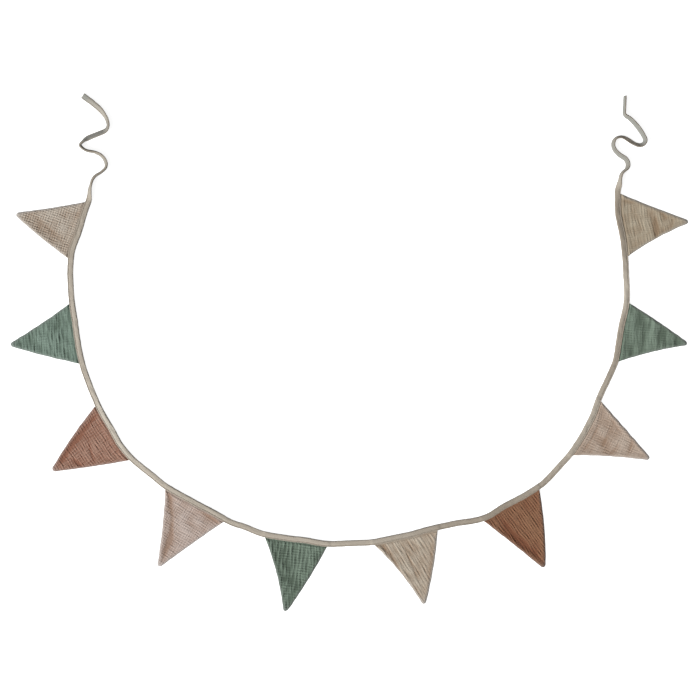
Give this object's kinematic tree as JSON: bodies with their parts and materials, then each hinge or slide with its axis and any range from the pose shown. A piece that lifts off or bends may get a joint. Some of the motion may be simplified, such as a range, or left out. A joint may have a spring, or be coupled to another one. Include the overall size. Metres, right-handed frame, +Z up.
{
  "type": "fabric bunting",
  "caption": "String of padded triangular muslin pennants in muted earth colours on a folded fabric tape, laid in a deep curve with both tape ends loose as wavy ties.",
  "frame": {"origin": "on the surface the bunting lies on, under the middle of its bounding box", "axes": "+X across the curve from the left tie to the right tie, +Y towards the open side between the ties, +Z up from the surface"},
  "size_m": [1.4228, 1.0877, 0.0128],
  "materials": {
    "tape": "matt plain-woven cotton",
    "oatmeal": "matt crinkled cotton muslin",
    "sage": "matt crinkled cotton muslin",
    "terracotta": "matt crinkled cotton muslin",
    "blush": "matt crinkled cotton muslin",
    "fern": "matt crinkled cotton muslin",
    "sand": "matt crinkled cotton muslin",
    "brick": "matt crinkled cotton muslin",
    "biscuit": "matt crinkled cotton muslin",
    "lichen": "matt crinkled cotton muslin",
    "wheat": "matt crinkled cotton muslin"
  },
  "bodies": {
    "root": {"tape": "tape", "flag_01": "oatmeal", "flag_02": "sage", "flag_03": "terracotta", "flag_04": "blush", "flag_05": "fern", "flag_06": "sand", "flag_07": "brick", "flag_08": "biscuit", "flag_09": "lichen", "flag_10": "wheat"}
  },
  "joints": []
}
